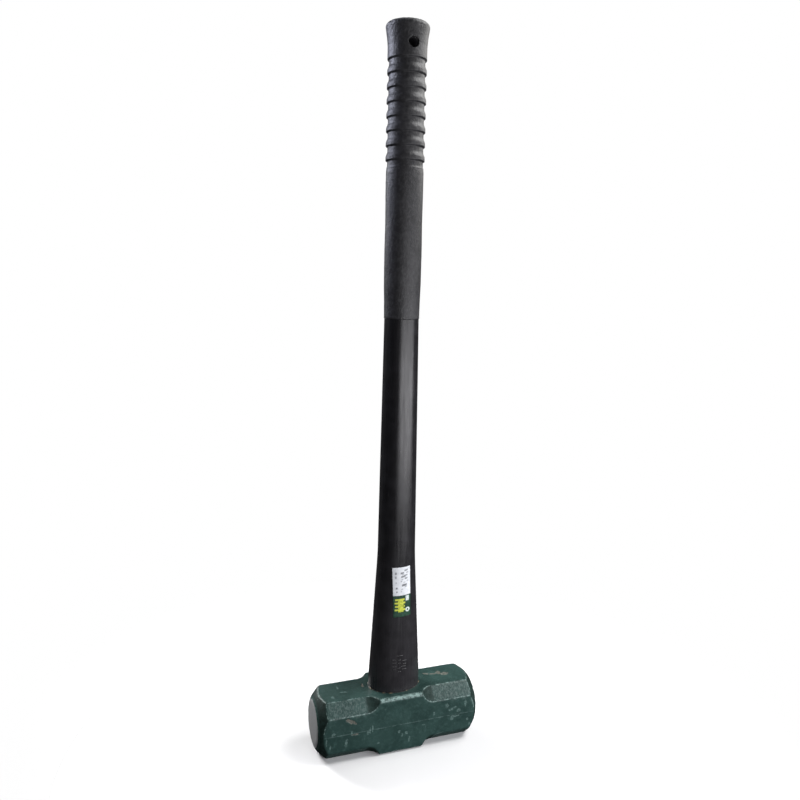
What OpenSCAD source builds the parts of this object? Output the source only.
// Long-handled sledge hammer: a square forged steel head on a moulded handle that is
// built over a glass-fibre rod. The hammer stands on the underside of its head.
// Origin: centre of the head's underside. Z runs up the handle, X runs along the head.

/* [Overall] */
// Height from the head's underside to the end of the grip
total_h = 900; // [860:10:960]

/* [Head] */
// Width and height of the square head
head_s = 74; // [70:1:78]
// Length of the head over its crowned striking faces
head_l = 216; // [200:1:230]
// Leg of the 45 degree chamfers along the long corners
corner_leg = 15; // [11:0.5:17]
// Length of the square block around the eye, along its full corners
block_l = 55; // [48:1:64]
// Leg of the small bevel along the block's corners
block_bevel = 2; // [0.5:0.5:3]
// Radius of the scoop where each corner chamfer runs out into the block
scoop_r = 18; // [14:1:26]
// Radius of the flat of each striking face before it rounds over
face_r = 30; // [26:0.5:31]
// Radius of the rounded rim of each striking face
face_rim_r = 4; // [3:0.5:9]
// Height of the crown of each striking face
face_crown = 1; // [0.6:0.2:2]
// Angle of the turned end cones from the head's axis
end_angle = 46; // [42:1:58]

/* [Eye and rod] */
// Radius of the round ends of the eye at the handle side
eye_top_r = 15.5; // [14.5:0.5:17]
// Radius of the round ends of the eye at the underside
eye_low_r = 17.5; // [17:0.5:19]
// Distance of the centres of those ends from the handle's axis
eye_shift = 6; // [3:0.5:8]
// Radius of the glass-fibre rod
rod_r = 12.5; // [11:0.5:13.5]
// How far the rod and the resin end above the underside of the head
potting_recess = 1.5; // [0.5:0.5:3]

/* [Handle] */
// Half width of the handle's oval base, along the head
base_a = 33.6; // [30:0.2:35]
// Half width of the handle's oval base, across the head
base_b = 25.2; // [24:0.2:30]
// Radius where the flare has become round
neck_r = 24; // [22.5:0.1:24]
// Height of the flare above the head
flare_h = 185; // [150:5:210]
// Height of the straight foot below the flare
foot_h = 12; // [4:1:20]
// Radius of the shaft where the grip sleeve starts
shaft_r = 21.5; // [21:0.1:22.4]

/* [Grip] */
// Length of the grip sleeve
sleeve_l = 350; // [320:5:380]
// Radius of the handle inside the sleeve
tenon_r = 20; // [18:0.5:20.5]
// Thickness of the closed end of the sleeve
cap_t = 4; // [3:0.5:6]
// Radius of the grooves of the ribbed part
groove_r = 22; // [21.6:0.1:22.8]
// Radius of the raised rings between the grooves
ring_r = 24; // [23.2:0.1:24.8]
// Number of grooves
groove_n = 8; // [5:1:9]
// Distance from groove to groove
groove_pitch = 16.85; // [14:0.05:17.5]
// Largest radius of the flared end
butt_r = 26.7; // [25.5:0.1:28]
// Radius of the lanyard hole through the handle
lanyard_r = 6; // [4:0.5:7]
// Distance of the lanyard hole from the end of the grip
lanyard_drop = 26.5; // [22:0.5:28]

/* [Labels] */
// Thickness of the paper labels
label_t = 0.3; // [0.2:0.1:0.5]
// Width of both labels
label_w = 23.5; // [18:0.5:28]
// Height of the white label
white_label_h = 37; // [30:1:44]
// Height of the green label
green_label_h = 28; // [20:1:32]
// Height of the edge where the labels meet, above the head
label_seam = 128; // [110:1:140]

/* [Hidden] */
$fn = 96;

half_s = head_s / 2;
face_x = head_l / 2 - face_crown;                  // plane of the rim of each striking face
chamfer_d = (head_s - corner_leg) / sqrt(2);       // distance of a corner chamfer from the bar's axis
corner_d = head_s / sqrt(2);                       // distance of a full corner from the bar's axis
bevel_d = (head_s - block_bevel) / sqrt(2);        // distance of the block's bevels from the bar's axis
scoop_run = sqrt(pow(scoop_r, 2) - pow(scoop_r - (corner_d - chamfer_d), 2));
chamfer_x = block_l / 2 + scoop_run;               // where the flat part of a chamfer begins
bar_clear = 60;                                    // half size of cutters that run past the bar

flare_n = 72;                                      // points around the flare
flare_steps = 10;                                  // rings up the flare
flare_top = head_s + flare_h;
flare_ease = 0.06;                                 // how softly the flare meets the shaft

sleeve_z = total_h - sleeve_l;
tenon_top = total_h - cap_t;
rod_top = total_h - 54;
sleeve_lip = 0.5;                                  // step from the shaft up to the sleeve
groove_top = total_h - 46.4;                       // centre of the highest groove
groove_half = 3;                                   // half width of a groove's floor
groove_wall = 1.6;                                 // width of a groove's sloping upper wall
shoulder_z = groove_top - (groove_n - 1) * groove_pitch - groove_half - groove_wall;
// Hand part of the sleeve, as [share of its length, how far it dips below its widest radius].
hand_dips = [[0.22, 0.2], [0.46, 0], [0.65, 0.4], [0.84, 0], [0.97, 0.1], [1, 0.5]];
// Upper side of a raised ring, as [distance below the next groove's floor, depth below the ring].
ring_back = [[5, 0], [2.6, 0.4], [0.8, ring_r - groove_r - 0.4]];
bell_l = 26;                                       // length over which the end of the grip flares
bell_step = 0.2;                                   // how far its lower edge stands proud of the rings
bell_power = 1.3;                                  // above 1, the flare opens towards its end
butt_round = 5.5;                                  // rounding of the closed end
lanyard_z = total_h - lanyard_drop;
mouth_gap = 0.6;                                   // the sleeve's hole is this much wider
bead_w = 1.2;                                      // width and height of the resin squeezed out
bead_h = 0.9;
label_lean = -2;                                   // the labels are stuck on slightly crooked
label_offset = 0.9;                                // and slightly off the middle

// Share of the flare left at height z: 1 at the head and 0 where the shaft is round.
function flare_share(z) =
    let (u = min(1, (flare_top - z) / (flare_h - foot_h)))
    (sqrt(u * u + flare_ease * flare_ease) - flare_ease)
    / (sqrt(1 + flare_ease * flare_ease) - flare_ease);
function flare_a(z) = neck_r + (base_a - neck_r) * flare_share(z);
function flare_b(z) = neck_r + (base_b - neck_r) * flare_share(z);

function oval(a, b, z) =
    [for (i = [0:flare_n - 1]) [a * cos(360 * i / flare_n), b * sin(360 * i / flare_n), z]];

// Closed solid through a stack of ovals, each given as [half width x, half width y, height].
module oval_stack(levels) {
    rings = len(levels);
    skin = [for (r = [0:rings - 2]) for (i = [0:flare_n - 1])
        let (j = (i + 1) % flare_n)
        [r * flare_n + i, (r + 1) * flare_n + i, (r + 1) * flare_n + j, r * flare_n + j]];
    floor_face = [for (i = [0:flare_n - 1]) i];
    roof_face = [for (i = [flare_n - 1:-1:0]) (rings - 1) * flare_n + i];
    polyhedron([for (l = levels) each oval(l[0], l[1], l[2])], concat(skin, [floor_face, roof_face]));
}

// Levels of the flare, from the head up its straight foot and on to where it is round.
function flare_levels(grow = 0) = concat(
    [[base_a + grow, base_b + grow, head_s]],
    [for (s = [0:flare_steps])
        let (z = head_s + foot_h + (flare_h - foot_h) * s / flare_steps)
        [flare_a(z) + grow, flare_b(z) + grow, z]]);

module flare(grow = 0) {
    oval_stack(flare_levels(grow));
}

// Straight bar of the head, before its corners are cut and its ends are turned.
module square_bar() {
    translate([-head_l / 2 - 5, -half_s, 0]) cube([head_l + 10, head_s, head_s]);
}

// Cutter for one corner at one end of the bar: the chamfer, its scooped run-out and the bevel.
module corner_cutter() {
    translate([-1, -bar_clear / 2, bevel_d]) cube([head_l, bar_clear, bar_clear]);
    translate([chamfer_x, -bar_clear / 2, chamfer_d]) cube([head_l, bar_clear, bar_clear]);
    translate([chamfer_x, 0, chamfer_d + scoop_r])
        rotate([90, 0, 0]) cylinder(r = scoop_r, h = bar_clear, center = true);
}

// Everything that the turned ends leave: cones, rounded rims and crowned faces.
module turned_envelope() {
    rim_span = 90 - end_angle;
    flat_r = face_r - face_rim_r * tan(rim_span / 2);
    crown_r = (pow(flat_r, 2) + pow(face_crown, 2)) / (2 * face_crown);
    wide_r = head_s;
    crown = [for (k = [0:6]) let (r = flat_r * k / 6)
        [r, face_x + face_crown - crown_r + sqrt(crown_r * crown_r - r * r)]];
    rim = [for (k = [1:6]) let (t = rim_span * k / 6)
        [flat_r + face_rim_r * sin(t), face_x - face_rim_r + face_rim_r * cos(t)]];
    rim_end = rim[len(rim) - 1];
    cone_end = [wide_r, rim_end[1] - (wide_r - rim_end[0]) / tan(end_angle)];
    half = concat(crown, rim, [cone_end]);
    other = [for (k = [len(half) - 1:-1:0]) [half[k][0], -half[k][1]]];
    translate([0, 0, half_s]) rotate([0, 90, 0]) rotate_extrude() polygon(concat(half, other));
}

// Tapered eye: two cones with the wedge between them. low and high are its end heights.
module eye(low, high) {
    slope = (eye_top_r - eye_low_r) / head_s;
    low_r = eye_low_r + slope * low;
    high_r = eye_low_r + slope * high;
    for (side = [-1, 1])
        translate([side * eye_shift, 0, low]) cylinder(h = high - low, r1 = low_r, r2 = high_r);
    translate([-eye_shift, 0, 0]) rotate([90, 0, 90]) linear_extrude(2 * eye_shift)
        polygon([[-low_r, low], [low_r, low], [high_r, high], [-high_r, high]]);
}

module head() {
    color("darkslategray") difference() {
        intersection() {
            square_bar();
            turned_envelope();
        }
        for (end = [0, 1]) mirror([end, 0, 0]) for (turn = [45:90:315])
            translate([0, 0, half_s]) rotate([turn, 0, 0]) corner_cutter();
        eye(-1, head_s + 1);
    }
}

module fibreglass_core() {
    color("khaki") translate([0, 0, potting_recess])
        cylinder(h = rod_top - potting_recess, r = rod_r);
}

module eye_potting() {
    color("peru") difference() {
        eye(potting_recess, head_s);
        translate([0, 0, -1]) cylinder(h = head_s + 2, r = rod_r);
    }
}

module handle_jacket() {
    color("black") difference() {
        union() {
            oval_stack(concat(flare_levels(), [[shaft_r, shaft_r, sleeve_z]]));
            translate([0, 0, sleeve_z - 1]) cylinder(h = tenon_top - sleeve_z + 1, r = tenon_r);
        }
        translate([0, 0, head_s - 1]) cylinder(h = rod_top - head_s + 1, r = rod_r);
        translate([0, 0, lanyard_z]) rotate([90, 0, 0])
            cylinder(h = 3 * tenon_r, r = lanyard_r, center = true);
    }
}

// Outline of the sleeve as [radius, height], from its lower edge to the rounded end.
function sleeve_outline() =
    let (
        foot_r = shaft_r + sleeve_lip,
        swell_r = (groove_r + ring_r) / 2 + 0.15,
        hand_l = shoulder_z - sleeve_z,
        hand = concat(
            [[foot_r, sleeve_z], [foot_r + 0.3, sleeve_z + 0.12 * hand_l]],
            [for (d = hand_dips) [swell_r - d[1], sleeve_z + d[0] * hand_l]]),
        ribs = [for (k = [groove_n - 1:-1:0])
            let (z = groove_top - k * groove_pitch, next = z + groove_pitch - groove_half)
            each concat(
                [[groove_r, z - groove_half], [groove_r, z + groove_half],
                 [ring_r, z + groove_half + groove_wall]],
                k == 0 ? [] : [for (d = ring_back) [ring_r - d[1], next - d[0]]])],
        dome_z = total_h - butt_round,
        bell_r = ring_r + bell_step,
        bell = [for (s = [0:4]) let (t = s / 4)
            [bell_r + (butt_r - bell_r) * pow(t, bell_power), total_h - bell_l + (bell_l - butt_round) * t]],
        dome = [for (s = [1:5]) let (t = 18 * s)
            [butt_r - butt_round + butt_round * cos(t), dome_z + butt_round * sin(t)]]
    )
    concat(hand, ribs, bell, dome);

module grip_sleeve() {
    color("dimgray") difference() {
        rotate_extrude() polygon(concat([[0, sleeve_z]], sleeve_outline(), [[0, total_h]]));
        translate([0, 0, sleeve_z - 1]) cylinder(h = tenon_top - sleeve_z + 1, r = tenon_r);
        translate([0, 0, lanyard_z]) rotate([90, 0, 0])
            cylinder(h = 3 * butt_r, r = lanyard_r + mouth_gap, center = true);
    }
}

// Ring of cured resin squeezed out under the rim of the handle.
module resin_bead() {
    color("tan") difference() {
        oval_stack([
            [base_a + bead_w, base_b + bead_w, head_s],
            [base_a + 0.8 * bead_w, base_b + 0.8 * bead_w, head_s + 0.5 * bead_h],
            [base_a + 0.3 * bead_w, base_b + 0.3 * bead_w, head_s + bead_h]
        ]);
        flare();
    }
}

// Paper label on the front of the flare, between two heights above the head.
module label(low, high) {
    difference() {
        intersection() {
            flare(label_t);
            translate([label_offset, 0, head_s + label_seam]) rotate([0, label_lean, 0])
                translate([-label_w / 2, -2 * base_b, low]) cube([label_w, 2 * base_b, high - low]);
        }
        flare();
    }
}

module brand_label() {
    color("seagreen") label(-green_label_h, 0);
}

module price_label() {
    color("white") label(0, white_label_h);
}

head();
fibreglass_core();
handle_jacket();
grip_sleeve();
eye_potting();
resin_bead();
brand_label();
price_label();
